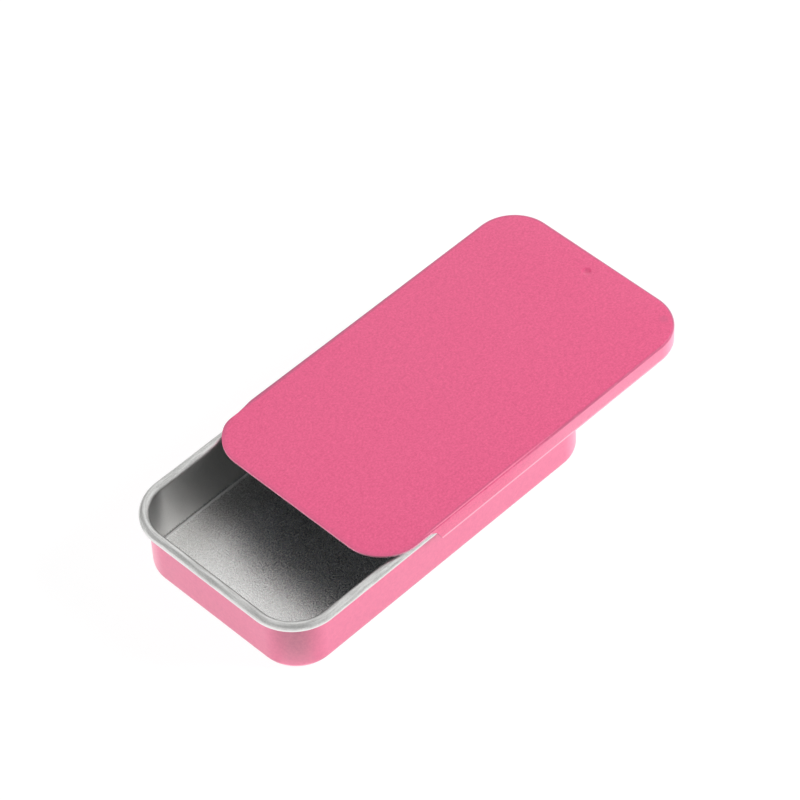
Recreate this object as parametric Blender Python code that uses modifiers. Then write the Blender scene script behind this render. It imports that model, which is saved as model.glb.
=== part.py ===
"""Sliding lid tin: a pressed tray with a rolled rim, and a lid that slides along that rim.

Metres, +Z up. The origin is on the surface that the tin stands on, under the middle of the tray.
+X is the way the lid opens. Both pieces are pressed from one sheet, coated on its outer face only.
"""

import math

import bmesh
import bpy

# Sheet and overall sizes
SHEET = 0.00025
TIN_HEIGHT = 0.011
LID_OPENING = 0.0166

# Lid: plan, fold and skirt
LID_LENGTH = 0.060
LID_WIDTH = 0.034
LID_CORNER = 0.0063
FOLD_RADIUS = 0.0005
SKIRT_DEPTH = 0.0032

# Lid: the hem is the skirt's lower edge, rolled inwards and up under the tray's rim
HEM_RADIUS = 0.0005
HEM_RISE = 0.0005

# Lid: the front end has no skirt, and the skirt's front edge slopes up to the plain sheet
FRONT_LIP = 0.00005
FLAT_FRONT = 0.0076
FOLD_FADE = 0.0024
SKIRT_START = 0.01115
SKIRT_SLOPE = 0.00157
SLOPE_FILLET = 0.002

# Lid: the pressed dimple snaps behind the tray's end wall when the tin is shut
DIMPLE_RADIUS = 0.0012
DIMPLE_DEPTH = 0.00025
DIMPLE_CLEARANCE = 0.0001

# Running clearances between the lid and the tray's rim
SIDE_CLEARANCE = 0.0001
END_CLEARANCE = 0.0003
TOP_CLEARANCE = 0.0005

# Tray: the rim is the wall's upper edge, rolled outwards and down
BEAD_WIDTH = 0.00145
LIP_DROP = 0.00085
CORNER_EASE = 0.00105
BOTTOM_RADIUS = 0.0012

# Spare length of a cutter beyond what it cuts
CUT_OVERRUN = 0.002

# Counts of flats in the round stretches
CORNER_FLATS = 10
BOTTOM_FLATS = 5
FOLD_FLATS = 4
BEAD_FLATS = 8
HEM_FLATS = 8
DIMPLE_FLATS = 24
FADE_FLATS = 4
SLOPE_FLATS = 6

# Places worked out from the sizes above
RIM_LENGTH = LID_LENGTH - 2 * (SHEET + END_CLEARANCE)
RIM_WIDTH = LID_WIDTH - 2 * (SHEET + SIDE_CLEARANCE)
RIM_CORNER = LID_CORNER - SHEET - SIDE_CLEARANCE + CORNER_EASE
TRAY_HEIGHT = TIN_HEIGHT - SHEET - TOP_CLEARANCE
RIM_OVERHANG = BEAD_WIDTH - SHEET
TRAY_LENGTH = RIM_LENGTH - 2 * RIM_OVERHANG
TRAY_WIDTH = RIM_WIDTH - 2 * RIM_OVERHANG
TRAY_CORNER = RIM_CORNER - RIM_OVERHANG

WELD = SHEET / 100
SMOOTH_ANGLE = math.radians(35)


def clear_scene():
    for obj in list(bpy.data.objects):
        bpy.data.objects.remove(obj, do_unlink=True)


def collection_named(name):
    collection = bpy.data.collections.new(name)
    bpy.context.scene.collection.children.link(collection)
    return collection


def finish(name, colour, metallic, roughness):
    """A Principled material."""
    material = bpy.data.materials.new(name)
    material.use_nodes = True
    shader = material.node_tree.nodes["Principled BSDF"]
    shader.inputs["Base Color"].default_value = (*colour, 1.0)
    shader.inputs["Metallic"].default_value = metallic
    shader.inputs["Roughness"].default_value = roughness
    return material


def coated_finish(name):
    return finish(name, (0.80, 0.13, 0.26), 0.0, 0.45)


def bare_finish(name):
    return finish(name, (0.52, 0.52, 0.50), 1.0, 0.35)


def object_from(bm, name, collection):
    mesh = bpy.data.meshes.new(name)
    bm.to_mesh(mesh)
    bm.free()
    obj = bpy.data.objects.new(name, mesh)
    collection.objects.link(obj)
    return obj


def rounded_block(length, width, height, corner):
    """A block with its foot at z = 0 and its four upright edges rounded in plan."""
    bm = bmesh.new()
    bmesh.ops.create_cube(bm, size=1.0)
    bmesh.ops.scale(bm, vec=(length, width, height), verts=bm.verts)
    bmesh.ops.translate(bm, vec=(0, 0, height / 2), verts=bm.verts)
    upright = [edge for edge in bm.edges if is_upright(edge)]
    bmesh.ops.bevel(
        bm, geom=upright, offset=corner, offset_type="OFFSET", segments=CORNER_FLATS,
        profile=0.5, affect="EDGES", clamp_overlap=False,
    )
    return bm


def is_upright(edge):
    run = edge.verts[0].co - edge.verts[1].co
    return abs(run.z) > max(abs(run.x), abs(run.y))


def edges_at(bm, height):
    """The edges that lie in the level plane at this height."""
    return [edge for edge in bm.edges if all(abs(vert.co.z - height) < WELD for vert in edge.verts)]


def round_level_edges(bm, height, radius, flats):
    bmesh.ops.bevel(
        bm, geom=edges_at(bm, height), offset=radius, offset_type="OFFSET", segments=flats,
        profile=0.5, affect="EDGES", clamp_overlap=False,
    )


def remove_face_at(bm, height):
    level = [face for face in bm.faces if all(abs(vert.co.z - height) < WELD for vert in face.verts)]
    bmesh.ops.delete(bm, geom=level, context="FACES_ONLY")


def outward(point, length, width, corner):
    """The level direction that points out of a rounded outline at a point on it."""
    core_x = length / 2 - corner
    core_y = width / 2 - corner
    out_x = point.x - min(max(point.x, -core_x), core_x)
    out_y = point.y - min(max(point.y, -core_y), core_y)
    run = math.hypot(out_x, out_y)
    return out_x / run, out_y / run


def roll_edge(bm, steps, length, width, corner):
    """Extrudes the open edge of a shell through steps of (distance out, distance up)."""
    edges = [edge for edge in bm.edges if edge.is_boundary]
    for out, up in steps:
        made = bmesh.ops.extrude_edge_only(bm, edges=edges)["geom"]
        edges = [item for item in made if isinstance(item, bmesh.types.BMEdge)]
        for vert in (item for item in made if isinstance(item, bmesh.types.BMVert)):
            out_x, out_y = outward(vert.co, length, width, corner)
            vert.co.x += out * out_x
            vert.co.y += out * out_y
            vert.co.z += up


def steps_between(places):
    """The moves from each place of a path to the next."""
    return [(b[0] - a[0], b[1] - a[1]) for a, b in zip(places, places[1:])]


def half_roll(radius, flats, side, up):
    """A half turn that starts at (0, 0), goes to the given side and ends level with its start."""
    places = []
    for step in range(flats + 1):
        turn = math.pi * step / flats
        places.append((side * radius * (1 - math.cos(turn)), up * radius * math.sin(turn)))
    return places


def rim_steps():
    """The outer face of the wall's edge, over the bead and down its lip, on the coated side."""
    inner_radius = BEAD_WIDTH / 2 - SHEET
    places = half_roll(inner_radius, BEAD_FLATS, 1, 1)
    places.append((places[-1][0], -(LIP_DROP - BEAD_WIDTH / 2)))
    return steps_between(places)


def hem_steps():
    """The skirt's edge, rolled inwards and up, on the coated side."""
    places = half_roll(HEM_RADIUS, HEM_FLATS, -1, -1)
    places.append((places[-1][0], HEM_RISE))
    return steps_between(places)


def pressed_sheet(obj, coat, bare):
    """Gives a coated face its thickness of sheet, with bare metal on the inner face and cut edge."""
    obj.data.materials.append(coat)
    obj.data.materials.append(bare)
    sheet = obj.modifiers.new("sheet", "SOLIDIFY")
    sheet.thickness = SHEET
    sheet.offset = -1
    sheet.use_even_offset = True
    sheet.material_offset = 1
    sheet.material_offset_rim = 1


def smooth(obj):
    obj.data.shade_smooth()
    obj.data.set_sharp_from_angle(angle=SMOOTH_ANGLE)


def tray_shell():
    """The tray's coated face: floor, wall and rolled rim."""
    wall_top = TRAY_HEIGHT - BEAD_WIDTH / 2
    bm = rounded_block(TRAY_LENGTH, TRAY_WIDTH, wall_top, TRAY_CORNER)
    round_level_edges(bm, 0, BOTTOM_RADIUS, BOTTOM_FLATS)
    remove_face_at(bm, wall_top)
    roll_edge(bm, rim_steps(), TRAY_LENGTH, TRAY_WIDTH, TRAY_CORNER)
    return bm


def lid_shell():
    """The lid's coated face, with its top at z = 0: top, folded skirt and rolled hem."""
    wall = SKIRT_DEPTH - HEM_RADIUS
    bm = rounded_block(LID_LENGTH, LID_WIDTH, wall, LID_CORNER)
    bmesh.ops.translate(bm, vec=(0, 0, -wall), verts=bm.verts)
    round_level_edges(bm, 0, FOLD_RADIUS, FOLD_FLATS)
    remove_face_at(bm, -wall)
    roll_edge(bm, hem_steps(), LID_LENGTH, LID_WIDTH, LID_CORNER)
    flatten_front(bm)
    return bm


def flatten_front(bm):
    """Lets the fold fade out towards the front end, where the sheet is left flat to its edge."""
    first = -LID_LENGTH / 2 + FLAT_FRONT
    for step in range(FADE_FLATS + 1):
        bmesh.ops.bisect_plane(
            bm, geom=bm.verts[:] + bm.edges[:] + bm.faces[:], dist=WELD,
            plane_co=(first + FOLD_FADE * step / FADE_FLATS, 0, 0), plane_no=(1, 0, 0),
        )
    for vert in bm.verts:
        if vert.co.z > -FOLD_RADIUS - WELD:
            share = min(max((vert.co.x - first) / FOLD_FADE, 0), 1)
            vert.co.z *= share * share * (3 - 2 * share)


def cut_with(obj, cutter, operation):
    boolean = obj.modifiers.new(cutter.name, "BOOLEAN")
    boolean.operation = operation
    boolean.solver = "EXACT"
    boolean.object = cutter


def as_cutter(obj, place):
    obj.location = place
    obj.hide_render = True
    obj.display_type = "WIRE"
    return obj


def mesh_of_curve(curve_object, name, collection):
    """The curve's solid as a mesh object in the same place, with its caps welded."""
    bpy.context.view_layer.update()
    graph = bpy.context.evaluated_depsgraph_get()
    mesh = bpy.data.meshes.new_from_object(curve_object.evaluated_get(graph))
    bm = bmesh.new()
    bm.from_mesh(mesh)
    bmesh.ops.remove_doubles(bm, verts=bm.verts, dist=WELD)
    bmesh.ops.recalc_face_normals(bm, faces=bm.faces)
    obj = object_from(bm, name, collection)
    obj.matrix_world = curve_object.matrix_world
    bpy.data.objects.remove(curve_object, do_unlink=True)
    bpy.data.meshes.remove(mesh)
    return obj


def front_cutter(cutters, place):
    """Clears the skirt from the lid's front end: a flat outline in X and Z, pulled through in Y."""
    sheet_under = -(SHEET + FRONT_LIP)
    below = -SKIRT_DEPTH - CUT_OVERRUN
    front = -LID_LENGTH / 2 - CUT_OVERRUN
    foot = -LID_LENGTH / 2 + SKIRT_START
    slope_rate = SKIRT_SLOPE / (SKIRT_DEPTH - SHEET - FRONT_LIP)
    low = foot + slope_rate * CUT_OVERRUN
    head = foot - SKIRT_SLOPE
    slope_length = math.hypot(slope_rate, 1)
    fillet_start = (head + SLOPE_FILLET * slope_rate / slope_length,
                    sheet_under - SLOPE_FILLET / slope_length)
    fillet_end = (head - SLOPE_FILLET, sheet_under)
    outline = [(front, below), (low, below), fillet_start]
    for step in range(1, SLOPE_FLATS):
        outline.append(rounded_corner(fillet_start, (head, sheet_under), fillet_end, step / SLOPE_FLATS))
    outline += [fillet_end, (front, sheet_under)]

    data = bpy.data.curves.new("front_outline", "CURVE")
    data.dimensions = "2D"
    data.fill_mode = "BOTH"
    data.extrude = LID_WIDTH / 2 + CUT_OVERRUN
    spline = data.splines.new("POLY")
    spline.points.add(len(outline) - 1)
    for point, (x, z) in zip(spline.points, outline):
        point.co = (x, z, 0, 1)
    spline.use_cyclic_u = True
    curve_object = bpy.data.objects.new("front_outline", data)
    curve_object.rotation_euler = (math.pi / 2, 0, 0)
    curve_object.location = place
    cutters.objects.link(curve_object)
    cutter = mesh_of_curve(curve_object, "front_cutter", cutters)
    return as_cutter(cutter, place)


def rounded_corner(start, corner, end, share):
    """A point on the smooth bend that leaves one side at start and joins the next at end."""
    near = (1 - share) ** 2
    middle = 2 * share * (1 - share)
    far = share ** 2
    return tuple(near * a + middle * b + far * c for a, b, c in zip(start, corner, end))


def ball(name, radius, cutters, place):
    bm = bmesh.new()
    bmesh.ops.create_uvsphere(
        bm, u_segments=DIMPLE_FLATS, v_segments=DIMPLE_FLATS, radius=radius,
    )
    return as_cutter(object_from(bm, name, cutters), place)


def press_dimple(lid, cutters, place):
    """Pushes a small round dent through the sheet, just inside the tray's end wall when shut."""
    under_radius = DIMPLE_RADIUS + SHEET
    reach = math.sqrt(under_radius ** 2 - (DIMPLE_RADIUS - DIMPLE_DEPTH + SHEET) ** 2)
    wall_inside = TRAY_LENGTH / 2 - SHEET
    centre = (
        place[0] + wall_inside - reach - DIMPLE_CLEARANCE,
        place[1],
        place[2] + DIMPLE_RADIUS - DIMPLE_DEPTH,
    )
    bump = ball("dimple_bump", under_radius, cutters, centre)
    over_lid = ball("dimple_hollow", DIMPLE_RADIUS, cutters, centre)
    trim_dimple(bump, cutters, place)
    cut_with(lid, bump, "UNION")
    cut_with(lid, over_lid, "DIFFERENCE")


def trim_dimple(bump, cutters, place):
    """Keeps only the part of the ball that lies inside and under the sheet."""
    bm = bmesh.new()
    bmesh.ops.create_cube(bm, size=1.0)
    side = 2 * (DIMPLE_RADIUS + SHEET) + CUT_OVERRUN
    bmesh.ops.scale(bm, vec=(side, side, side), verts=bm.verts)
    block = object_from(bm, "dimple_trim", cutters)
    middle_of_sheet = place[2] - SHEET / 2
    as_cutter(block, (bump.location.x, bump.location.y, middle_of_sheet + side / 2))
    cut_with(bump, block, "DIFFERENCE")


def build():
    clear_scene()
    tin = collection_named("sliding_lid_tin")
    cutters = collection_named("cutters")

    tray = object_from(tray_shell(), "base_tray", tin)
    pressed_sheet(tray, coated_finish("tray_coat"), bare_finish("tray_bare"))
    smooth(tray)

    place = (LID_OPENING, 0, TIN_HEIGHT)
    lid = object_from(lid_shell(), "sliding_lid", tin)
    lid.location = place
    pressed_sheet(lid, coated_finish("lid_coat"), bare_finish("lid_bare"))
    cut_with(lid, front_cutter(cutters, place), "DIFFERENCE")
    press_dimple(lid, cutters, place)
    smooth(lid)


build()
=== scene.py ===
import math

import bmesh
import bpy
from mathutils import Matrix, Vector


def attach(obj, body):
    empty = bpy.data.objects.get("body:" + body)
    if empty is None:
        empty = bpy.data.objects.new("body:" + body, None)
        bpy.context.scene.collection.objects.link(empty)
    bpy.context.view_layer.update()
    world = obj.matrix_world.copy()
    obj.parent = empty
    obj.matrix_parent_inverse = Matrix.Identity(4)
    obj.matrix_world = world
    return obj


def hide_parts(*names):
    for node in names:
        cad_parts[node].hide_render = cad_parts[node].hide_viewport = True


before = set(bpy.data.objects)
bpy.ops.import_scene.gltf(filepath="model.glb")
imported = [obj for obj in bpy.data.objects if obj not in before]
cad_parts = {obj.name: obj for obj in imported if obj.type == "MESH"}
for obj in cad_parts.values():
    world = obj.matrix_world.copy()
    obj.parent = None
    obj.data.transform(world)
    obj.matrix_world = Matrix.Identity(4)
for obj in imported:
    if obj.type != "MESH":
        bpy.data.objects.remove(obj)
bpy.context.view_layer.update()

# Sheet and overall sizes, in metres
SHEET = 0.00025
TIN_HEIGHT = 0.011
LID_OPENING = 0.0166

# Lid
LID_LENGTH = 0.060
LID_WIDTH = 0.034
LID_CORNER = 0.0063
FOLD_RADIUS = 0.0005
SKIRT_DEPTH = 0.0032
HEM_RADIUS = 0.0005
HEM_RISE = 0.0005

# Lid: the front end, where the sheet is left flat and the skirt is cut away
FLAT_FRONT = 0.0076
FOLD_FADE = 0.0024
FAR_CORNER_TRIM = 0.00034
FAR_CORNER_REACH = 0.003
SKIRT_START = 0.01115
SKIRT_SLOPE = 0.00157
SLOPE_FILLET = 0.0011
CUTTER_GAP = 0.00001

# Lid: the pressed dimple
DIMPLE_RADIUS = 0.0012
DIMPLE_DEPTH = 0.0002
DIMPLE_CLEARANCE = 0.0003
DIMPLE_EASING = 0.00015

# Lid: fine lines in the coat of its top, measured inwards from the outline: a darker fold line, a painted
# highlight just outside it, painted shade along the flat front and a darker far line
FOLD_LINE_START = 0.00062
FOLD_LINE_END = 0.00036
PALE_LINE_END = 0.00012
FRONT_SHADE = 0.0008
FAR_LINE = 0.00045

# Lid: a painted dark reflection in the coat of its skirt, measured down from the top, and a painted
# highlight on its hem, up from the foot
SKIRT_LINE_DROP = 0.00014
SKIRT_LINE_WIDTH = 0.00008
HEM_LINE = 0.0007

# Lid: where the near side's rear part begins and where it is whole, along X from the origin; there the
# darker fold line moves out to the edge and the skirt has a painted sheen
REAR_START = 0.010
REAR_END = 0.022

# Lid: the painted shade of a small pucker in the sheet, its middle measured from the lid's own middle
PUCKER_ALONG = 0.0275
PUCKER_ASIDE = 0.0138
PUCKER_RADIUS = 0.0009

# Clearances, rim and tray
SIDE_CLEARANCE = 0.0001
END_CLEARANCE = 0.0003
TOP_CLEARANCE = 0.0005
BEAD_WIDTH = 0.00145
LIP_DROP = 0.00085
CORNER_EASE = 0.00105
BOTTOM_RADIUS = 0.0012
CREASE_RADIUS = 0.00042

RIM_LENGTH = LID_LENGTH - 2 * (SHEET + END_CLEARANCE)
RIM_WIDTH = LID_WIDTH - 2 * (SHEET + SIDE_CLEARANCE)
RIM_CORNER = LID_CORNER - SHEET - SIDE_CLEARANCE + CORNER_EASE
TRAY_HEIGHT = TIN_HEIGHT - SHEET - TOP_CLEARANCE
RIM_OVERHANG = BEAD_WIDTH - SHEET
TRAY_LENGTH = RIM_LENGTH - 2 * RIM_OVERHANG
TRAY_WIDTH = RIM_WIDTH - 2 * RIM_OVERHANG
TRAY_CORNER = RIM_CORNER - RIM_OVERHANG

# Fine mesh
CORNER_STEPS = 40
BOTTOM_STEPS = 16
FOLD_STEPS = 12
BEAD_STEPS = 24
HEM_STEPS = 20
FADE_STEPS = 16
SLOPE_STEPS = 16
DIMPLE_STEPS = 48
ROUND_PROFILE = 0.5
SMOOTH_ANGLE = math.radians(32)

# How near counts as the same place, and limits for the parts of a face's normal
CLOSE = SHEET / 50
LEVEL_ENOUGH = 0.01
SQUARE_ENOUGH = 0.05
FORWARD_ENOUGH = 0.2
UPRIGHT_ENOUGH = 0.5

# Where each finish stands in a piece's own list
COATED = 0
BARE = 1

# Colours of the coat, deep and pale
LID_DEEP = (0.65, 0.032, 0.155)
LID_PALE = (0.84, 0.092, 0.247)
# The tray's pink is set paler than the lid's, though both are one paint: painted light for its brighter
# walls
TRAY_DEEP = (0.72, 0.068, 0.215)
TRAY_PALE = (0.82, 0.112, 0.265)
# The cut edge's pink is paler than the coat: the thin coat's own tone, and a painted highlight where the
# edge catches light
EDGE_DEEP = (0.74, 0.25, 0.37)
EDGE_PALE = (0.86, 0.37, 0.49)

# Colours of dust specks, of the lid's darker lines, painted reflection and painted shade, its painted
# highlights and painted sheen, and of rubbed places
DUST_PINK = (0.95, 0.45, 0.58)
HIGHLIGHT_PINK = (0.99, 0.47, 0.60)
LINE_PINK = (0.42, 0.05, 0.14)
SHEEN_PINK = (0.90, 0.46, 0.62)
FAR_LILAC = (0.26, 0.05, 0.13)
RUBBED_GREY = (0.42, 0.42, 0.41)

# Colours of bare metal, dark and light
LID_METAL_DARK = (0.62, 0.65, 0.71)
LID_METAL_LIGHT = (0.84, 0.87, 0.92)
TRAY_METAL_DARK = (0.80, 0.80, 0.79)
TRAY_METAL_LIGHT = (1.0, 1.0, 0.98)

# Powder coat: grains per metre, and the span of each noise that is stretched from 0 to 1
LID_GRAINS = 3000.0
TRAY_GRAINS = 2500.0
MOTTLE_GRAINS = 1100.0
CLOUD_GRAINS = 90.0
POWDER_DETAIL = 3.0
GRAIN_ROUGHNESS = 0.75
MOTTLE_ROUGHNESS = 0.6
CLOUD_ROUGHNESS = 0.5
POWDER_SPAN = (0.30, 0.70)
MOTTLE_SPAN = (0.34, 0.66)
MOTTLE_SHARE = 0.25

# Powder coat: gloss and relief
PAINT_IOR = 1.5
LACQUER_IOR = 1.8
LACQUER_ROUGHNESS = 0.3
LID_ROUGHNESS = 0.55
TRAY_ROUGHNESS = 0.45
EDGE_ROUGHNESS = 0.40
ROUGHNESS_PLAY = 0.04
EDGE_ROUGHNESS_PLAY = 0.05
GRAIN_BUMP = 0.35
LID_GRAIN_HEIGHT = 0.00003
TRAY_GRAIN_HEIGHT = 0.00001

# Dust: cells per metre, how many of them hold a speck, and a speck's radius as shares of a cell
SPECK_CELLS = 260.0
SPECK_SHARE = 0.05
SPECK_EDGE_SHARES = (0.022, 0.034)

# How strongly each line of the lid's coat shows
TOP_LINE_SHARE = 0.55
FRONT_SHADE_SHARE = 0.6
REAR_EDGE_LINE_SHARE = 0.85
FOLD_HIGHLIGHT_SHARE = 0.60
SKIRT_REFLECTION_SHARE = 0.30
REAR_SKIRT_SHEEN_SHARE = 0.20
HEM_HIGHLIGHT_SHARE = 0.75
END_SKIRT_SHEEN_SHARE = 0.28
FAR_LINE_SHARE = 0.65
PUCKER_SHADE_SHARE = 0.30

# Where the lid's far end and far edge begin and are full, as shares of its half length and half width
FAR_END_SHARES = (0.78, 0.97)
FAR_EDGE_SHARES = (-0.15, 0.25)

# Tinplate: frosted grains, the floor's roughness, and what the crease and the drawn wall add to it
FROST_GRAINS = 4200.0
FROST_DETAIL = 2.0
FROST_ROUGHNESS = 0.7
FROST_SPAN = (0.38, 0.62)
SOFT_FROST_SPAN = (0.40, 0.60)
FROST_HEIGHT = 0.000014
METAL_SHARE = 0.97
FLOOR_ROUGHNESS = (0.15, 0.35)
CREASE_ROUGHNESS = 0.34
WALL_ROUGHNESS = 0.13

# Tinplate: streaks along the rim, where the lid rubs, and the roughness that the rim adds
STREAKS = 3600.0
STREAK_DETAIL = 2.0
STREAK_ROUGHNESS = 0.6
STREAK_SPAN = (0.36, 0.64)
STREAK_ALONG_SHARE = 0.08
LEAST_RUBBED_SHARE = 0.03
MOST_RUBBED_SHARE = 0.52
RIM_GRAIN_SHARE = 0.22
RIM_ROUGHNESS = 0.05

# Camera
LENS = 183.35
NEAREST_SEEN = 0.01
CAMERA_AZIMUTH = math.radians(-43.050)
CAMERA_ELEVATION = math.radians(48.284)
CAMERA_ROLL = math.radians(-3.217)
CAMERA_DISTANCE = 0.548882
CAMERA_ASIDE = 0.004457
CAMERA_ABOVE = 0.013549

# Tent: each panel's or gap's azimuth from +X and elevation, then its inner and outer reach, in degrees
RIGHT_PANEL = (-46, 46)
RIGHT_PANEL_SPREAD = (6, 42)
FRONT_GAP = (-133, 50)
FRONT_GAP_SPREAD = (10, 46)
BACK_GAP = (90, 18)
BACK_GAP_SPREAD = (6, 30)
BACK_PANEL = (42, 34)
BACK_PANEL_SPREAD = (6, 34)

# Tent: its level, and what each panel or gap adds to it
TENT_LEVEL = 0.69
RIGHT_GLOW = 0.30
BACK_GLOW = 0.36
FRONT_DIMMING = -0.24
BACK_DIMMING = -0.46
FILL_LEVEL = 0.03

# Lamps: directions as azimuth from +X and elevation, in degrees
RIGHT_LAMP = (-41, 22)
LEFT_LAMP = (134, 22)
TOP_LAMP = (45, 80)
LAMP_SIZE = 0.5
LAMP_DISTANCE = 0.95
RIGHT_POWER = 14.3
LEFT_POWER = 10.2
TOP_POWER = 0.25
FOOT_LAMP_SIZE = 0.007
FOOT_LAMP_POWER = 0.00021

# Floor
FLOOR_SIZE = 4.0
FLOOR_GAP = 0.00003
FLOOR_GLOW = 0.92
WHITE = (1, 1, 1, 1)
PAPER_GREY = (0.58, 0.58, 0.58, 1)
SHADED_GREY = (0.14, 0.14, 0.14, 1)


# Shader nodes

def set_inputs(node, **values):
    """Sets a node's sockets by name, with an underscore for each space."""
    for name, value in values.items():
        node.inputs[name.replace("_", " ")].default_value = value


def node_of(tree, kind, **values):
    """Adds a shader node and sets its sockets by name."""
    node = tree.nodes.new(kind)
    set_inputs(node, **values)
    return node


def placed_group(tree, group, **values):
    """Places a shared effect in a material, with the material's own values."""
    node = tree.nodes.new("ShaderNodeGroup")
    node.node_tree = group
    set_inputs(node, **values)
    return node


def feed(tree, value, socket):
    """Sets a socket to a number, or links another socket to it."""
    if isinstance(value, (int, float)):
        socket.default_value = value
    else:
        tree.links.new(value, socket)


def calculated(tree, operation, *values):
    """One step of arithmetic on numbers and sockets."""
    step = tree.nodes.new("ShaderNodeMath")
    step.operation = operation
    for socket, value in zip(step.inputs, values):
        feed(tree, value, socket)
    return step.outputs[0]


def multiplied(tree, first, *others):
    """Shares multiplied together."""
    product = first
    for other in others:
        product = calculated(tree, "MULTIPLY", product, other)
    return product


def stretch_range(tree, value, low, high, to_low=0.0, to_high=1.0, curve="LINEAR"):
    """Spreads a value between two limits over a new range, and holds it there."""
    spread = tree.nodes.new("ShaderNodeMapRange")
    spread.interpolation_type = curve
    spread.clamp = True
    for socket, number in zip(spread.inputs[1:5], (low, high, to_low, to_high)):
        socket.default_value = number
    tree.links.new(value, spread.inputs["Value"])
    return spread.outputs["Result"]


def band(tree, value, low, high):
    """1 halfway between two limits, falling to 0 at each."""
    middle = (low + high) / 2
    rising = stretch_range(tree, value, low, middle)
    falling = stretch_range(tree, value, middle, high, 1.0, 0.0)
    return calculated(tree, "MINIMUM", rising, falling)


def blend_colours(tree, share, first, second):
    """Colours mixed by a share. Each colour is a fixed value or a socket."""
    mix = tree.nodes.new("ShaderNodeMix")
    mix.data_type = "RGBA"
    tree.links.new(share, mix.inputs["Factor"])
    for socket, colour in ((mix.inputs[6], first), (mix.inputs[7], second)):
        if isinstance(colour, tuple):
            socket.default_value = (*colour, 1.0)
        else:
            tree.links.new(colour, socket)
    return mix.outputs[2]


def blend_shaders(tree, share, first, second):
    """The first shader where the share is 0, and the second where it is 1."""
    mix = tree.nodes.new("ShaderNodeMixShader")
    tree.links.new(share, mix.inputs["Fac"])
    tree.links.new(first.outputs[0], mix.inputs[1])
    tree.links.new(second.outputs[0], mix.inputs[2])
    return mix


def own_place(tree):
    """Where a point lies in the piece's own coordinates."""
    return tree.nodes.new("ShaderNodeTexCoord").outputs["Object"]


def own_distances(tree):
    """A point's own place as separate distances along X, Y and Z."""
    parts = tree.nodes.new("ShaderNodeSeparateXYZ")
    tree.links.new(own_place(tree), parts.inputs["Vector"])
    return parts.outputs


def height_above(tree, level):
    """How far a point lies above a level, in metres."""
    return calculated(tree, "SUBTRACT", own_distances(tree)["Z"], level)


def noise(tree, place, count, detail, roughness):
    """Noise at a place. The count per metre is a number or a socket."""
    pattern = node_of(tree, "ShaderNodeTexNoise", Detail=detail, Roughness=roughness)
    tree.links.new(place, pattern.inputs["Vector"])
    feed(tree, count, pattern.inputs["Scale"])
    return pattern.outputs["Fac"]


def seen_directly(tree):
    """1 for rays from the camera, and for those that mirror or pass to it."""
    path = tree.nodes.new("ShaderNodeLightPath").outputs
    mirrored = calculated(tree, "MAXIMUM", path["Is Camera Ray"], path["Is Glossy Ray"])
    return calculated(tree, "MAXIMUM", mirrored, path["Is Transmission Ray"])


# Camera and studio

def place_camera():
    """Looks down on the tin's near corner; the view's middle lies beside and above the origin."""
    level = math.cos(CAMERA_ELEVATION)
    back = Vector((
        math.sin(CAMERA_AZIMUTH) * level,
        -math.cos(CAMERA_AZIMUTH) * level,
        math.sin(CAMERA_ELEVATION),
    ))
    right = (-back).cross(Vector((0, 0, 1))).normalized()
    up = right.cross(-back)
    turn = Matrix.Rotation(CAMERA_ROLL, 3, back)
    right = turn @ right
    up = turn @ up
    eye = back * CAMERA_DISTANCE + right * CAMERA_ASIDE + up * CAMERA_ABOVE
    data = bpy.data.cameras.new("camera")
    data.lens = LENS
    data.clip_start = NEAREST_SEEN
    camera = bpy.data.objects.new("camera", data)
    bpy.context.scene.collection.objects.link(camera)
    camera.matrix_world = Matrix((
        (right.x, up.x, back.x, eye.x),
        (right.y, up.y, back.y, eye.y),
        (right.z, up.z, back.z, eye.z),
        (0, 0, 0, 1),
    ))
    bpy.context.scene.camera = camera


def towards(azimuth, elevation):
    """A direction from the tin: azimuth turns from +X to +Y, in degrees."""
    turn = math.radians(azimuth)
    rise = math.radians(elevation)
    return Vector((math.cos(turn) * math.cos(rise), math.sin(turn) * math.cos(rise), math.sin(rise)))


def panel_glow(tree, direction, inner, outer, amount):
    """What a soft panel or gap adds to the tent, by the angle from its middle."""
    place = tree.nodes.new("ShaderNodeTexCoord")
    along = tree.nodes.new("ShaderNodeVectorMath")
    along.operation = "DOT_PRODUCT"
    tree.links.new(place.outputs["Generated"], along.inputs[0])
    along.inputs[1].default_value = direction
    edge = math.cos(math.radians(outer))
    middle = math.cos(math.radians(inner))
    return stretch_range(tree, along.outputs["Value"], edge, middle, 0.0, amount, "SMOOTHSTEP")


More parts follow.
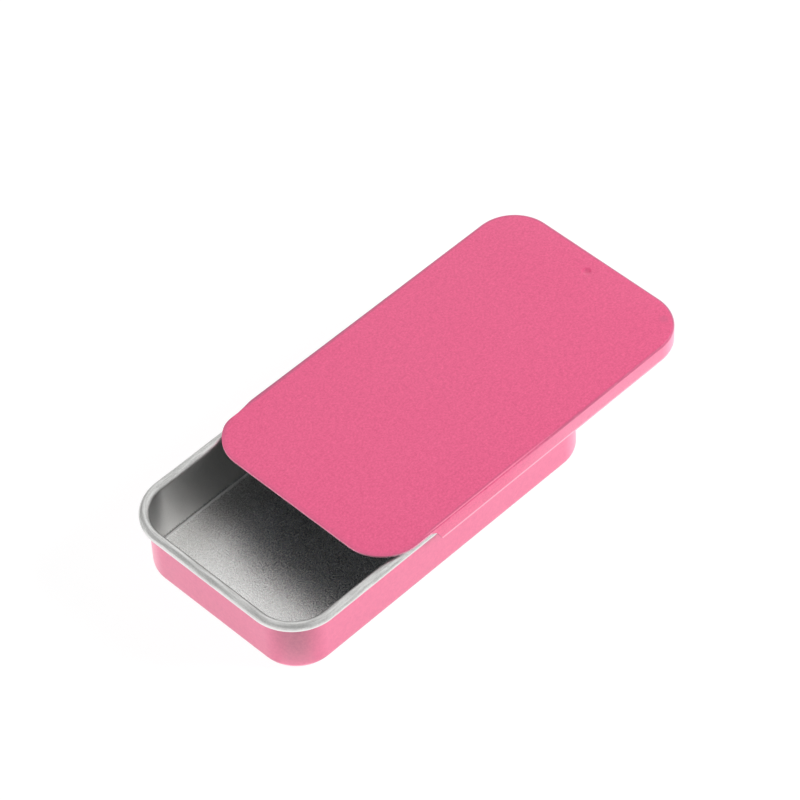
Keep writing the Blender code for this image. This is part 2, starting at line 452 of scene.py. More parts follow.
def light_world():
    """White to the camera, a tent with soft panels and gaps to mirroring rays, a weak fill to others."""
    world = bpy.data.worlds.new("studio")
    world.use_nodes = True
    tree = world.node_tree
    tree.nodes.clear()
    level = TENT_LEVEL
    for place, spread, amount in (
        (RIGHT_PANEL, RIGHT_PANEL_SPREAD, RIGHT_GLOW),
        (FRONT_GAP, FRONT_GAP_SPREAD, FRONT_DIMMING),
        (BACK_GAP, BACK_GAP_SPREAD, BACK_DIMMING),
        (BACK_PANEL, BACK_PANEL_SPREAD, BACK_GLOW),
    ):
        level = calculated(tree, "ADD", level, panel_glow(tree, towards(*place), *spread, amount))
    tent = node_of(tree, "ShaderNodeBackground", Strength=1.0)
    tree.links.new(level, tent.inputs["Color"])
    fill = node_of(tree, "ShaderNodeBackground", Color=WHITE, Strength=FILL_LEVEL)
    white = node_of(tree, "ShaderNodeBackground", Color=WHITE, Strength=1.0)
    lit = blend_shaders(tree, seen_directly(tree), fill, tent)
    path = tree.nodes.new("ShaderNodeLightPath")
    seen = blend_shaders(tree, path.outputs["Is Camera Ray"], lit, white)
    output = tree.nodes.new("ShaderNodeOutputWorld")
    tree.links.new(seen.outputs[0], output.inputs["Surface"])
    bpy.context.scene.world = world


def area_lamp(name, shape, size, power, place, turn):
    """A soft lamp that mirroring rays don't show."""
    data = bpy.data.lights.new(name, "AREA")
    data.shape = shape
    data.size = size
    data.energy = power
    lamp = bpy.data.objects.new(name, data)
    lamp.location = place
    lamp.rotation_euler = turn
    lamp.visible_glossy = False
    bpy.context.scene.collection.objects.link(lamp)
    return lamp


def soft_lamp(name, direction, power):
    """A large square lamp at some distance, turned to the tin."""
    turn = (-direction).to_track_quat("-Z", "Y").to_euler()
    area_lamp(name, "SQUARE", LAMP_SIZE, power, direction * LAMP_DISTANCE, turn)


def light_foot():
    """A small soft lamp lying at the foot of the near corner, which it lights from below."""
    diagonal = math.sqrt(0.5)
    aside = TRAY_CORNER - (TRAY_CORNER + FOOT_LAMP_SIZE / 3) * diagonal
    place = (aside - TRAY_LENGTH / 2, aside - TRAY_WIDTH / 2, FLOOR_GAP)
    facing_up = (math.pi, 0, 0)
    lamp = area_lamp("foot_lamp", "DISK", FOOT_LAMP_SIZE, FOOT_LAMP_POWER, place, facing_up)
    lamp.visible_camera = False


def light_studio():
    """The world's tent, two soft side lamps, a faint one above and a small one at the foot."""
    light_world()
    soft_lamp("right_lamp", towards(*RIGHT_LAMP), RIGHT_POWER)
    soft_lamp("left_lamp", towards(*LEFT_LAMP), LEFT_POWER)
    soft_lamp("top_lamp", towards(*TOP_LAMP), TOP_POWER)
    light_foot()


def floor_finish():
    """White paper that shows a faint soft shadow and throws light back on the tin."""
    material = bpy.data.materials.new("white_paper")
    material.use_nodes = True
    tree = material.node_tree
    tree.nodes.clear()
    paper = node_of(tree, "ShaderNodeBsdfDiffuse", Color=PAPER_GREY)
    shaded = node_of(tree, "ShaderNodeBsdfDiffuse", Color=SHADED_GREY)
    glow = node_of(tree, "ShaderNodeEmission", Color=WHITE, Strength=FLOOR_GLOW)
    shown = tree.nodes.new("ShaderNodeAddShader")
    tree.links.new(shaded.outputs[0], shown.inputs[0])
    tree.links.new(glow.outputs[0], shown.inputs[1])
    either = blend_shaders(tree, seen_directly(tree), paper, shown)
    output = tree.nodes.new("ShaderNodeOutputMaterial")
    tree.links.new(either.outputs[0], output.inputs["Surface"])
    return material


def lay_floor():
    """A wide paper floor, a hair below the tray's underside."""
    bpy.ops.object.select_all(action="DESELECT")
    bpy.ops.mesh.primitive_plane_add(size=FLOOR_SIZE, location=(0, 0, -FLOOR_GAP))
    floor = bpy.context.object
    floor.name = "floor"
    floor.data.materials.append(floor_finish())


# Effects that finishes share

def new_group(name, inputs, outputs):
    """An empty shader node group whose named inputs and outputs are numbers."""
    group = bpy.data.node_groups.new(name, "ShaderNodeTree")
    for way, labels in (("INPUT", inputs), ("OUTPUT", outputs)):
        for label in labels:
            group.interface.new_socket(name=label, in_out=way, socket_type="NodeSocketFloat")
    given = group.nodes.new("NodeGroupInput").outputs
    made = group.nodes.new("NodeGroupOutput").inputs
    return group, given, made


def powder_group():
    """Fine light and dark grains, and broader soft clouding, of a baked coat."""
    group, given, made = new_group("powder", ("Grain per metre",), ("Grain", "Mottled grain", "Cloud"))
    place = own_place(group)
    grain = noise(group, place, given["Grain per metre"], POWDER_DETAIL, GRAIN_ROUGHNESS)
    mottle = noise(group, place, MOTTLE_GRAINS, POWDER_DETAIL, MOTTLE_ROUGHNESS)
    cloud = noise(group, place, CLOUD_GRAINS, POWDER_DETAIL, CLOUD_ROUGHNESS)
    fine = calculated(group, "MULTIPLY", grain, 1 - MOTTLE_SHARE)
    mixed = calculated(group, "MULTIPLY_ADD", mottle, MOTTLE_SHARE, fine)
    group.links.new(stretch_range(group, grain, *POWDER_SPAN), made["Grain"])
    group.links.new(stretch_range(group, mixed, *MOTTLE_SPAN), made["Mottled grain"])
    group.links.new(stretch_range(group, cloud, *POWDER_SPAN), made["Cloud"])
    return group


def frost_group():
    """Close-set light and dark grains of frosted metal."""
    group, given, made = new_group("frost", ("Grain per metre",), ("Grain", "Soft grain"))
    grain = noise(group, own_place(group), given["Grain per metre"], FROST_DETAIL, FROST_ROUGHNESS)
    group.links.new(stretch_range(group, grain, *FROST_SPAN), made["Grain"])
    group.links.new(stretch_range(group, grain, *FROST_SPAN, *SOFT_FROST_SPAN), made["Soft grain"])
    return group


def rubbing_group():
    """Rubbed streaks that follow an outline: they are short across it and long along it."""
    inputs = ("Outside", "Streaks per metre", "Least", "Most")
    group, given, made = new_group("rubbing", inputs, ("Streaks",))
    distances = own_distances(group)
    place = group.nodes.new("ShaderNodeCombineXYZ")
    group.links.new(given["Outside"], place.inputs["X"])
    for axis, slot in (("X", "Y"), ("Y", "Z")):
        along = calculated(group, "MULTIPLY", distances[axis], STREAK_ALONG_SHARE)
        group.links.new(along, place.inputs[slot])
    count = given["Streaks per metre"]
    pattern = noise(group, place.outputs["Vector"], count, STREAK_DETAIL, STREAK_ROUGHNESS)
    spread = stretch_range(group, pattern, *STREAK_SPAN)
    span = calculated(group, "SUBTRACT", given["Most"], given["Least"])
    streaks = calculated(group, "MULTIPLY_ADD", spread, span, given["Least"])
    group.links.new(streaks, made["Streaks"])
    return group


def specks_group():
    """Rare tiny round specks, as of dust: 1 on a speck, 0 elsewhere."""
    group, given, made = new_group("specks", ("Cells per metre", "Share"), ("Speck",))
    cells = group.nodes.new("ShaderNodeTexVoronoi")
    group.links.new(own_place(group), cells.inputs["Vector"])
    group.links.new(given["Cells per metre"], cells.inputs["Scale"])
    near = stretch_range(group, cells.outputs["Distance"], *SPECK_EDGE_SHARES, 1.0, 0.0)
    pick = group.nodes.new("ShaderNodeSeparateColor")
    group.links.new(cells.outputs["Color"], pick.inputs["Color"])
    rare = calculated(group, "LESS_THAN", pick.outputs["Red"], given["Share"])
    group.links.new(calculated(group, "MULTIPLY", near, rare), made["Speck"])
    return group


def outline_group():
    """How far a point lies outside a rounded rectangle in plan, in metres: negative inside it."""
    inputs = ("Centre", "Half core length", "Half core width", "Corner")
    group, given, made = new_group("outline", inputs, ("Outside",))
    distances = own_distances(group)
    from_centre = calculated(group, "SUBTRACT", distances["X"], given["Centre"])
    along = calculated(group, "ABSOLUTE", from_centre)
    across = calculated(group, "ABSOLUTE", distances["Y"])
    past_end = calculated(group, "SUBTRACT", along, given["Half core length"])
    past_side = calculated(group, "SUBTRACT", across, given["Half core width"])
    end_square = calculated(group, "POWER", calculated(group, "MAXIMUM", past_end, 0.0), 2.0)
    side_square = calculated(group, "POWER", calculated(group, "MAXIMUM", past_side, 0.0), 2.0)
    reach = calculated(group, "SQRT", calculated(group, "ADD", end_square, side_square))
    inner = calculated(group, "MINIMUM", calculated(group, "MAXIMUM", past_end, past_side), 0.0)
    whole = calculated(group, "ADD", reach, inner)
    outside = calculated(group, "SUBTRACT", whole, given["Corner"])
    group.links.new(outside, made["Outside"])
    return group


def lid_ends_group():
    """Which part of the lid a point is on, along and across it, and how near it is to the painted shade
    of its pucker.
    """
    group, given, made = new_group(
        "lid_ends",
        ("Front", "Fade", "Wear start", "Wear end", "Centre", "Half length", "Half width"),
        ("Folded", "Near", "Near rear", "Far edge", "Far end", "Pucker shade"),
    )
    distances = own_distances(group)
    along = distances["X"]
    across = distances["Y"]
    past_front = calculated(group, "SUBTRACT", along, given["Front"])
    folded = calculated(group, "DIVIDE", past_front, given["Fade"])
    # The near side's rear part, where the skirt gets a painted sheen
    past_rear = calculated(group, "SUBTRACT", along, given["Wear start"])
    rear_length = calculated(group, "SUBTRACT", given["Wear end"], given["Wear start"])
    rear_part = stretch_range(group, calculated(group, "DIVIDE", past_rear, rear_length), 0, 1)
    fore_part = calculated(group, "SUBTRACT", 1.0, rear_part)
    near_side = stretch_range(group, across, -CLOSE, 0, 1.0, 0.0)
    from_centre = calculated(group, "SUBTRACT", along, given["Centre"])
    share_along = calculated(group, "DIVIDE", from_centre, given["Half length"])
    share_across = calculated(group, "DIVIDE", across, given["Half width"])
    diagonal = calculated(group, "ADD", share_along, share_across)
    gap = group.nodes.new("ShaderNodeVectorMath")
    gap.operation = "DISTANCE"
    group.links.new(own_place(group), gap.inputs[0])
    # Middle of the painted shade of a small pucker in the sheet
    gap.inputs[1].default_value = (LID_OPENING + PUCKER_ALONG, -PUCKER_ASIDE, TIN_HEIGHT)
    pucker_shade = stretch_range(group, gap.outputs["Value"], PUCKER_RADIUS / 3, PUCKER_RADIUS, 1.0, 0.0)
    for label, mask in (
        ("Folded", stretch_range(group, folded, 0, 1)),
        ("Near", multiplied(group, fore_part, near_side)),
        ("Near rear", multiplied(group, rear_part, near_side)),
        ("Far edge", stretch_range(group, diagonal, *FAR_EDGE_SHARES)),
        ("Far end", stretch_range(group, share_along, *FAR_END_SHARES)),
        ("Pucker shade", pucker_shade),
    ):
        group.links.new(mask, made[label])
    return group


def outside_outline(tree, centre, length, width, corner):
    """How far a point lies outside a piece's rounded outline."""
    outline = placed_group(
        tree, OUTLINE, Centre=centre, Half_core_length=length / 2 - corner,
        Half_core_width=width / 2 - corner, Corner=corner,
    )
    return outline.outputs["Outside"]


# Finishes

def new_finish(name):
    """A new material, its node tree and its main shader."""
    material = bpy.data.materials.new(name)
    material.use_nodes = True
    return material, material.node_tree, material.node_tree.nodes["Principled BSDF"]


def bumped(tree, shader, height, strength, distance):
    """Raises the surface by a height that changes over it."""
    bump = node_of(tree, "ShaderNodeBump", Strength=strength, Distance=distance)
    tree.links.new(height, bump.inputs["Height"])
    tree.links.new(bump.outputs["Normal"], shader.inputs["Normal"])


def vary_roughness(tree, shader, cloud, roughness, play):
    """Lets the roughness drift a little to both sides of its middle value."""
    rough = stretch_range(tree, cloud, 0, 1, roughness - play, roughness + play)
    tree.links.new(rough, shader.inputs["Roughness"])


def pink_coat(name, deep, pale, grains, roughness, grain_height):
    """Baked pink coat with a fine grain: colour between a deep and a pale pink."""
    material, tree, shader = new_finish(name)
    powder = placed_group(tree, POWDER, Grain_per_metre=grains).outputs
    specks = placed_group(tree, SPECKS, Cells_per_metre=SPECK_CELLS, Share=SPECK_SHARE).outputs
    grained = blend_colours(tree, powder["Mottled grain"], deep, pale)
    dusty = blend_colours(tree, specks["Speck"], grained, DUST_PINK)
    tree.links.new(dusty, shader.inputs["Base Color"])
    vary_roughness(tree, shader, powder["Cloud"], roughness, ROUGHNESS_PLAY)
    set_inputs(
        shader, IOR=PAINT_IOR, Coat_Weight=1.0, Coat_Roughness=LACQUER_ROUGHNESS, Coat_IOR=LACQUER_IOR,
    )
    bumped(tree, shader, powder["Grain"], GRAIN_BUMP, grain_height)
    return material


def lid_lines(tree):
    """The lid's fine lines, painted highlights, painted sheen, painted reflection and painted shade,
    among them the shade of a small pucker, in the order they are laid: place, strength and colour.
    """
    outline = outside_outline(tree, LID_OPENING, LID_LENGTH, LID_WIDTH, LID_CORNER)
    above = height_above(tree, TIN_HEIGHT)
    ends = placed_group(
        tree, LID_ENDS, Front=LID_OPENING - LID_LENGTH / 2 + FLAT_FRONT, Fade=FOLD_FADE,
        Wear_start=REAR_START, Wear_end=REAR_END, Centre=LID_OPENING,
        Half_length=LID_LENGTH / 2, Half_width=LID_WIDTH / 2,
    ).outputs
    folded = ends["Folded"]
    unfolded = calculated(tree, "SUBTRACT", 1.0, folded)
    not_rear = calculated(tree, "SUBTRACT", 1.0, ends["Near rear"])

    # Heights
    on_top = stretch_range(tree, above, -SKIRT_LINE_DROP, -SKIRT_LINE_DROP / 2)
    above_skirt = stretch_range(tree, above, -3 * SKIRT_LINE_DROP, -2 * SKIRT_LINE_DROP)
    above_hem = stretch_range(tree, above, -4 * SKIRT_LINE_DROP, -3 * SKIRT_LINE_DROP)
    on_skirt = stretch_range(tree, above, -2 * SKIRT_LINE_DROP, -3 * SKIRT_LINE_DROP)
    line_level = -SKIRT_LINE_DROP
    skirt_reflection = band(tree, above, line_level - SKIRT_LINE_WIDTH, line_level + SKIRT_LINE_WIDTH)
    # Painted highlight band along the hem's roll, up from the foot
    hem = stretch_range(tree, above, HEM_LINE - SKIRT_DEPTH, HEM_LINE - HEM_LINE / 5 - SKIRT_DEPTH)

    # Distances from the outline
    fold = band(tree, outline, -FOLD_LINE_START, -FOLD_LINE_END)
    fold_highlight = band(tree, outline, -FOLD_LINE_END, -PALE_LINE_END)
    to_edge = stretch_range(tree, outline, -FOLD_LINE_END, -PALE_LINE_END)
    to_far_edge = stretch_range(tree, outline, -FAR_LINE, -FAR_LINE / 2)
    to_front = stretch_range(tree, outline, -FRONT_SHADE, 0, 0.0, FRONT_SHADE_SHARE)

    fold_line = multiplied(tree, fold, folded, not_rear)
    front_shade = multiplied(tree, to_front, unfolded)
    top_lines = calculated(tree, "ADD", fold_line, front_shade)
    return (
        (multiplied(tree, top_lines, on_top), TOP_LINE_SHARE, LINE_PINK),
        # Darker line out at the edge of the near side's rear part
        (multiplied(tree, to_edge, above_skirt, ends["Near rear"]), REAR_EDGE_LINE_SHARE, LINE_PINK),
        # Painted highlight just outside the fold line
        (multiplied(tree, fold_highlight, on_top, folded, ends["Near"]), FOLD_HIGHLIGHT_SHARE, HIGHLIGHT_PINK),
        # Painted dark reflection on the skirt, just below the fold
        (multiplied(tree, skirt_reflection, not_rear), SKIRT_REFLECTION_SHARE, LINE_PINK),
        # Painted sheen on the skirt of the near side's rear part
        (multiplied(tree, on_skirt, ends["Near rear"]), REAR_SKIRT_SHEEN_SHARE, SHEEN_PINK),
        # Painted highlight along the hem
        (hem, HEM_HIGHLIGHT_SHARE, HIGHLIGHT_PINK),
        # Painted sheen on the skirt at the far end
        (multiplied(tree, on_skirt, ends["Far end"]), END_SKIRT_SHEEN_SHARE, SHEEN_PINK),
        (multiplied(tree, to_far_edge, above_hem, ends["Far edge"]), FAR_LINE_SHARE, FAR_LILAC),
        # Painted shade of a small pucker
        (ends["Pucker shade"], PUCKER_SHADE_SHARE, LINE_PINK),
    )


def lined_lid_coat(name):
    """The lid's coat: darker lines along its folds, a painted dark reflection below the fold, painted
    shade at its flat front, painted highlights along its fold and hem, painted sheen on its skirt, and
    the painted shade of one small pucker.
    """
    material = pink_coat(name, LID_DEEP, LID_PALE, LID_GRAINS, LID_ROUGHNESS, LID_GRAIN_HEIGHT)
    tree = material.node_tree
    base = tree.nodes["Principled BSDF"].inputs["Base Color"]
    coat = base.links[0].from_socket
    for share, strength, colour in lid_lines(tree):
        coat = blend_colours(tree, multiplied(tree, share, strength), coat, colour)
    tree.links.new(coat, base)
    return material


def cut_edge(name):
    """The coat where it wraps thinly round the sheet's cut edge, in a paler pink: the thin coat's own
    tone, and a painted highlight where the edge catches light.
    """
    material, tree, shader = new_finish(name)
    powder = placed_group(tree, POWDER, Grain_per_metre=LID_GRAINS).outputs
    tone = blend_colours(tree, powder["Grain"], EDGE_DEEP, EDGE_PALE)
    tree.links.new(tone, shader.inputs["Base Color"])
    vary_roughness(tree, shader, powder["Cloud"], EDGE_ROUGHNESS, EDGE_ROUGHNESS_PLAY)
    return material


def bare_tinplate(name, dark, light):
    """Bare tinplate: frosted with light and dark grains on the floor, more even up the drawn wall."""
    material, tree, shader = new_finish(name)
    frost = placed_group(tree, FROST, Grain_per_metre=FROST_GRAINS).outputs
    height = height_above(tree, SHEET)
    drawn = stretch_range(tree, height, 0, CREASE_RADIUS / 8)
    even = blend_colours(tree, drawn, frost["Grain"], frost["Soft grain"])
    tree.links.new(blend_colours(tree, even, dark, light), shader.inputs["Base Color"])
    set_inputs(shader, Metallic=METAL_SHARE)
    on_floor = stretch_range(tree, even, 0, 1, *FLOOR_ROUGHNESS)
    low_down = stretch_range(tree, height, CREASE_RADIUS / 3, CREASE_RADIUS / 2, 1.0, 0.0)
    in_crease = multiplied(tree, drawn, low_down)
    to_crease = calculated(tree, "MULTIPLY_ADD", in_crease, CREASE_ROUGHNESS, on_floor)
    on_wall = stretch_range(tree, height, CREASE_RADIUS, BOTTOM_RADIUS, 0.0, WALL_ROUGHNESS)
    tree.links.new(calculated(tree, "ADD", to_crease, on_wall), shader.inputs["Roughness"])
    bumped(tree, shader, even, 1.0, FROST_HEIGHT)
    return material


def worn_rim(name):
    """The tray's bare tinplate, which the lid has rubbed to an uneven, darker grey along the rim."""
    material = bare_tinplate(name, TRAY_METAL_DARK, TRAY_METAL_LIGHT)
    tree = material.node_tree
    shader = tree.nodes["Principled BSDF"]
    metal = shader.inputs["Base Color"].links[0].from_socket
    polish = shader.inputs["Roughness"].links[0].from_socket
    rubbed = placed_group(
        tree, RUBBING, Streaks_per_metre=STREAKS, Least=LEAST_RUBBED_SHARE, Most=MOST_RUBBED_SHARE,
    )
    outline = outside_outline(tree, 0.0, RIM_LENGTH, RIM_WIDTH, RIM_CORNER)
    tree.links.new(outline, rubbed.inputs["Outside"])
    grain = placed_group(tree, FROST, Grain_per_metre=FROST_GRAINS).outputs["Grain"]
    on_rim = stretch_range(tree, height_above(tree, TRAY_HEIGHT), -BEAD_WIDTH / 2, -BEAD_WIDTH / 3)
    scratches = calculated(tree, "MULTIPLY_ADD", grain, RIM_GRAIN_SHARE, rubbed.outputs["Streaks"])
    share = multiplied(tree, scratches, on_rim)
    tree.links.new(blend_colours(tree, share, metal, RUBBED_GREY), shader.inputs["Base Color"])
    rough = calculated(tree, "MULTIPLY_ADD", on_rim, RIM_ROUGHNESS, polish)
    tree.links.new(rough, shader.inputs["Roughness"])
    return material


# Modelling by hand

def select_only(block):
    """Selects one object and makes it the active one."""
    bpy.ops.object.select_all(action="DESELECT")
    block.select_set(True)
    bpy.context.view_layer.objects.active = block


def enter_edit():
    bpy.ops.object.mode_set(mode="EDIT")


def leave_edit():
    bpy.ops.object.mode_set(mode="OBJECT")


def settle():
    """Puts the selected object's place, turn and scale into its mesh."""
    bpy.ops.object.transform_apply(location=True, rotation=True, scale=True)


def start_block(name, length, width, low, high):
    """A block between two heights, in edit mode with nothing selected."""
    bpy.ops.object.select_all(action="DESELECT")
    bpy.ops.mesh.primitive_cube_add(size=1.0, location=(0, 0, (low + high) / 2))
    block = bpy.context.object
    block.name = name
    block.scale = (length, width, high - low)
    settle()
    enter_edit()
    bpy.ops.mesh.select_all(action="DESELECT")
    return block


def choose(block, kind, test):
    """Selects the edges, faces or points that pass the test, and nothing else."""
    bpy.ops.mesh.select_mode(type=kind)
    bpy.ops.mesh.select_all(action="DESELECT")
    bm = bmesh.from_edit_mesh(block.data)
    items = {"VERT": bm.verts, "EDGE": bm.edges, "FACE": bm.faces}[kind]
    for item in items:
        if test(item):
            item.select_set(True)
    bm.select_flush_mode()
    bmesh.update_edit_mesh(block.data)


def is_upright(edge):
    """A test for edges that run more upwards than along or across."""
    run = edge.verts[0].co - edge.verts[1].co
    return abs(run.z) > max(abs(run.x), abs(run.y))


def is_open(edge):
    """A test for edges with a face on one side only."""
    return edge.is_boundary


def level_at(height):
    """A test for edges or faces that lie in the level plane at this height."""
    return lambda item: all(abs(vert.co.z - height) < CLOSE for vert in item.verts)


def round_edges(radius, steps):
    """Rounds the selected edges to a radius."""
    bpy.ops.mesh.bevel(
        offset=radius, offset_type="OFFSET", segments=steps, profile=ROUND_PROFILE, affect="EDGES",
        clamp_overlap=False,
    )


def roll_open_edge(block, places):
    """Extrudes the open edge through places of (distance out, distance up)."""
    choose(block, "EDGE", is_open)
    onward = places[1][1] - places[0][1]
    for before, after in zip(places, places[1:]):
        out = after[0] - before[0]
        up = after[1] - before[1]
        bpy.ops.mesh.extrude_region_move(TRANSFORM_OT_translate={"value": (0, 0, up)})
        bpy.ops.transform.shrink_fatten(value=out if up * onward > 0 else -out)


def half_roll(radius, steps, side, up):
    """A half turn that starts at (0, 0), goes to the given side and ends level with its start."""
    places = []
    for step in range(steps + 1):
        turn = math.pi * step / steps
        places.append((side * radius * (1 - math.cos(turn)), up * radius * math.sin(turn)))
    return places


def apply_modifier(block, kind, **settings):
    """Adds a modifier with its settings and applies it."""
    modifier = block.modifiers.new("step", kind)
    for name, value in settings.items():
        setattr(modifier, name, value)
    bpy.context.view_layer.objects.active = block
    bpy.ops.object.modifier_apply(modifier=modifier.name)


def combine(block, operation, tool):
    """Joins a tool to a block or cuts the tool's shape out of it, and removes the tool."""
    apply_modifier(block, "BOOLEAN", operation=operation, solver="EXACT", object=tool)
    bpy.data.objects.remove(tool, do_unlink=True)


def thicken(block, coat, bare):
    """Gives the coated face its sheet: bare metal on the inner face and the cut edge."""
    block.data.materials.append(coat)
    block.data.materials.append(bare)
    apply_modifier(
        block, "SOLIDIFY", thickness=SHEET, offset=-1, use_even_offset=True,
        material_offset=BARE, material_offset_rim=BARE,
    )


def smooth(block):
    """Shades a piece smooth, and leaves its sharp edges sharp."""
    select_only(block)
    bpy.ops.object.shade_smooth_by_angle(angle=SMOOTH_ANGLE)


# The tray

def model_tray():
    """The tray: floor, wall, and an edge rolled outwards and down."""
    wall_top = TRAY_HEIGHT - BEAD_WIDTH / 2
    tray = start_block("tray", TRAY_LENGTH, TRAY_WIDTH, 0, wall_top)
    choose(tray, "EDGE", is_upright)
    round_edges(TRAY_CORNER, CORNER_STEPS)
    choose(tray, "EDGE", level_at(0))
    round_edges(BOTTOM_RADIUS, BOTTOM_STEPS)
    choose(tray, "FACE", level_at(wall_top))
    bpy.ops.mesh.delete(type="FACE")
    bead = half_roll(BEAD_WIDTH / 2 - SHEET, BEAD_STEPS, 1, 1)
    bead.append((bead[-1][0], BEAD_WIDTH / 2 - LIP_DROP))
    roll_open_edge(tray, bead)
    leave_edit()
    thicken(tray, TRAY_COAT, TRAY_METAL)
    tighten_crease(tray)
    smooth(tray)
    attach(tray, "tray")
    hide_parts("base_tray")


def tighten_crease(tray):
    """Remakes the tray's inner floor so that it meets the wall in a tighter bend than outside."""
    enter_edit()
    inside_x = TRAY_LENGTH / 2 - SHEET + CLOSE
    inside_y = TRAY_WIDTH / 2 - SHEET + CLOSE

    def faces_up_or_in(face):
        centre = face.calc_center_median()
        inside = abs(centre.x) < inside_x and abs(centre.y) < inside_y
        return inside and SHEET - CLOSE < centre.z < BOTTOM_RADIUS and face.normal.z > -LEVEL_ENOUGH

    choose(tray, "FACE", faces_up_or_in)
    bpy.ops.mesh.delete(type="FACE")
    choose(tray, "EDGE", is_open)
    bpy.ops.mesh.extrude_region_move(TRANSFORM_OT_translate={"value": (0, 0, SHEET - BOTTOM_RADIUS)})
    bpy.ops.transform.resize(value=(1, 1, 0), center_override=(0, 0, SHEET))
    bpy.ops.mesh.edge_face_add()
    choose(tray, "FACE", faces_up_or_in)
    bpy.context.object.active_material_index = BARE
    bpy.ops.object.material_slot_assign()
    choose(tray, "EDGE", level_at(SHEET))
    round_edges(CREASE_RADIUS, BOTTOM_STEPS)
    leave_edit()


# The lid

def model_lid():
    """The lid: flat top, folded skirt with a rolled hem, and a plain front end."""
    wall_foot = TIN_HEIGHT - SKIRT_DEPTH + HEM_RADIUS
    lid = start_block("lid", LID_LENGTH, LID_WIDTH, wall_foot, TIN_HEIGHT)
    choose(lid, "EDGE", is_upright)
    round_edges(LID_CORNER, CORNER_STEPS)
    choose(lid, "EDGE", level_at(TIN_HEIGHT))
    round_edges(FOLD_RADIUS, FOLD_STEPS)
    choose(lid, "FACE", level_at(wall_foot))
    bpy.ops.mesh.delete(type="FACE")
    hem = half_roll(HEM_RADIUS, HEM_STEPS, -1, -1)
    hem.append((hem[-1][0], HEM_RISE))
    roll_open_edge(lid, hem)
    flatten_front(lid)
    leave_edit()
    thicken(lid, LID_COAT, LID_METAL)
    combine(lid, "DIFFERENCE", model_front_cutter())
    press_dimple(lid)
    trim_far_corner(lid)
    select_only(lid)
    lid.location = (LID_OPENING, 0, 0)
    settle()
    finish_cut_edge(lid)
    smooth(lid)
    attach(lid, "lid")
    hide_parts("sliding_lid")


def flatten_front(lid):
    """Lets the fold fade out smoothly towards the front end, where the sheet is left flat to its edge."""
    first = -LID_LENGTH / 2 + FLAT_FRONT
    fold_foot = TIN_HEIGHT - FOLD_RADIUS - CLOSE
    for step in range(FADE_STEPS + 1):
        place = first + FOLD_FADE * step / FADE_STEPS
        bpy.ops.mesh.select_mode(type="VERT")
        bpy.ops.mesh.select_all(action="SELECT")
        bpy.ops.mesh.bisect(plane_co=(place, 0, 0), plane_no=(1, 0, 0))
        share = step / FADE_STEPS
        height_share = share * share * (3 - 2 * share)
        if step == 0:
            choose(lid, "VERT", lambda vert: vert.co.x < place + CLOSE and vert.co.z > fold_foot)
        else:
            choose(lid, "VERT", lambda vert: abs(vert.co.x - place) < CLOSE and vert.co.z > fold_foot)
        bpy.ops.transform.resize(value=(1, 1, height_share), center_override=(0, 0, TIN_HEIGHT))


def model_front_cutter():
    """A block that clears the skirt from the front end, with a sloped and rounded inner corner."""
    spare = SKIRT_DEPTH
    top = TIN_HEIGHT - SHEET - CUTTER_GAP
    foot = -LID_LENGTH / 2 + SKIRT_START
    length = SKIRT_START + spare
    cutter = start_block("cutter", length, LID_WIDTH + spare, TIN_HEIGHT - SKIRT_DEPTH, top)
    bpy.ops.mesh.select_all(action="SELECT")
    bpy.ops.transform.translate(value=(foot - length / 2, 0, 0))
    on_top = level_at(top)

    def upper_edge_at(place):
        """A test for the upper edge that lies at this place along the lid or past it."""
        return lambda edge: on_top(edge) and all(vert.co.x > place - CLOSE for vert in edge.verts)

    choose(cutter, "EDGE", upper_edge_at(foot))
    bpy.ops.transform.translate(value=(-SKIRT_SLOPE, 0, 0))
    choose(cutter, "EDGE", upper_edge_at(foot - SKIRT_SLOPE))
    round_edges(SLOPE_FILLET, SLOPE_STEPS)
    leave_edit()
    return cutter


def model_ball(name, radius, centre, finish):
    """A ball that carries the lid's two finishes, all of it in one of them."""
    bpy.ops.object.select_all(action="DESELECT")
    bpy.ops.mesh.primitive_uv_sphere_add(
        segments=DIMPLE_STEPS, ring_count=DIMPLE_STEPS, radius=radius, location=centre,
    )
    ball = bpy.context.object
    ball.name = name
    settle()
    for material in (LID_COAT, LID_METAL):
        ball.data.materials.append(material)
    for polygon in ball.data.polygons:
        polygon.material_index = finish
    return ball


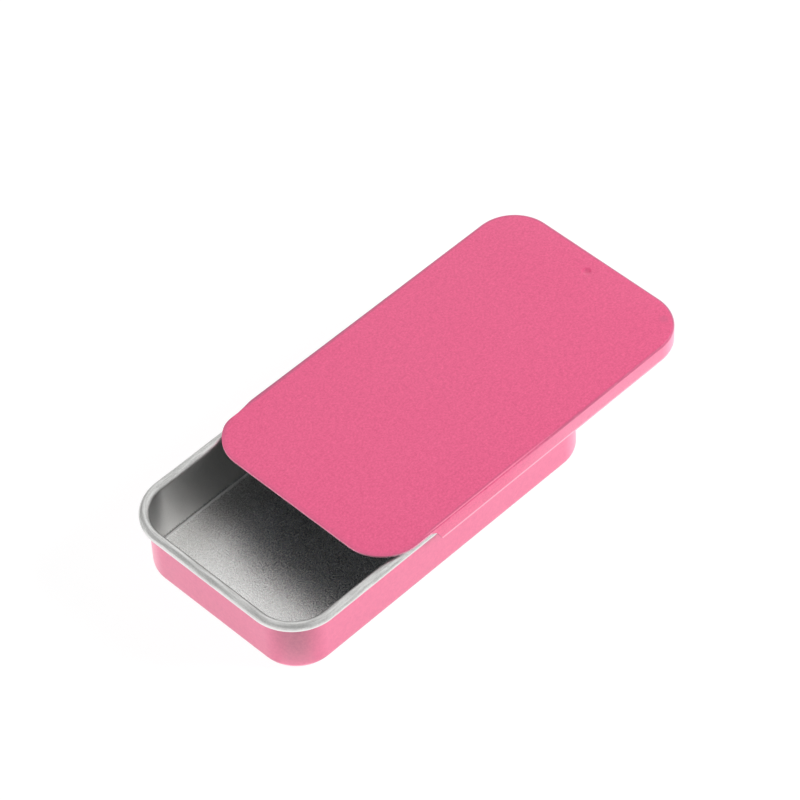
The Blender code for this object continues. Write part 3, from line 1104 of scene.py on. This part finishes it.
def press_dimple(lid):
    """Pushes a small round dent down through the sheet, inside the tray's end wall when shut."""
    under_radius = DIMPLE_RADIUS + SHEET
    reach = math.sqrt(under_radius ** 2 - (DIMPLE_RADIUS - DIMPLE_DEPTH + SHEET) ** 2)
    along = TRAY_LENGTH / 2 - SHEET - reach - DIMPLE_CLEARANCE
    centre = (along, 0, TIN_HEIGHT + DIMPLE_RADIUS - DIMPLE_DEPTH)
    bump = model_ball("bump", under_radius, centre, BARE)
    enter_edit()
    bpy.ops.mesh.select_all(action="SELECT")
    bpy.ops.mesh.bisect(
        plane_co=(0, 0, TIN_HEIGHT - SHEET / 2), plane_no=(0, 0, 1), use_fill=True, clear_outer=True,
    )
    leave_edit()
    hollow = model_ball("hollow", DIMPLE_RADIUS, centre, COATED)
    combine(lid, "UNION", bump)
    combine(lid, "DIFFERENCE", hollow)
    select_only(lid)
    enter_edit()
    brim = math.sqrt(DIMPLE_RADIUS ** 2 - (DIMPLE_RADIUS - DIMPLE_DEPTH) ** 2)
    on_top = level_at(TIN_HEIGHT)

    def on_brim(edge):
        return on_top(edge) and all(
            abs(math.hypot(vert.co.x - along, vert.co.y) - brim) < CLOSE for vert in edge.verts
        )

    choose(lid, "EDGE", on_brim)
    round_edges(DIMPLE_EASING, FOLD_STEPS)
    leave_edit()


def trim_far_corner(lid):
    """Draws the flat front end's far corner in a little, easing out to nothing on both sides."""
    enter_edit()
    corner_start = -LID_LENGTH / 2 + LID_CORNER
    far_side = LID_WIDTH / 2 - FOLD_RADIUS
    choose(lid, "VERT", lambda vert: abs(vert.co.x - corner_start) < CLOSE and vert.co.y > far_side)
    bpy.ops.transform.translate(
        value=(0, -FAR_CORNER_TRIM, 0), use_proportional_edit=True,
        proportional_edit_falloff="SMOOTH", proportional_size=FAR_CORNER_REACH,
    )
    leave_edit()


def finish_cut_edge(lid):
    """Gives the front end's cut edge, and the skirt's sloped end, their own finish."""
    lid.data.materials.append(CUT_EDGE)
    edge_index = len(lid.data.materials) - 1
    front = LID_OPENING - LID_LENGTH / 2 + SKIRT_START
    low = TIN_HEIGHT - SHEET - CLOSE
    for polygon in lid.data.polygons:
        centre = polygon.center
        normal = polygon.normal
        at_front = centre.x < front + CLOSE
        on_edge = abs(normal.z) < UPRIGHT_ENOUGH and centre.z > low
        on_slope = centre.z < low and normal.x < -FORWARD_ENOUGH and abs(normal.y) < SQUARE_ENOUGH
        if at_front and (on_edge or on_slope):
            polygon.material_index = edge_index


# The scene

place_camera()
bpy.context.scene.view_settings.view_transform = "Standard"
light_studio()
lay_floor()

POWDER = powder_group()
FROST = frost_group()
RUBBING = rubbing_group()
SPECKS = specks_group()
OUTLINE = outline_group()
LID_ENDS = lid_ends_group()

LID_COAT = lined_lid_coat("lid_coat")
TRAY_COAT = pink_coat("tray_coat", TRAY_DEEP, TRAY_PALE, TRAY_GRAINS, TRAY_ROUGHNESS, TRAY_GRAIN_HEIGHT)
LID_METAL = bare_tinplate("lid_metal", LID_METAL_DARK, LID_METAL_LIGHT)
TRAY_METAL = worn_rim("tray_metal")
CUT_EDGE = cut_edge("cut_edge")

model_tray()
model_lid()
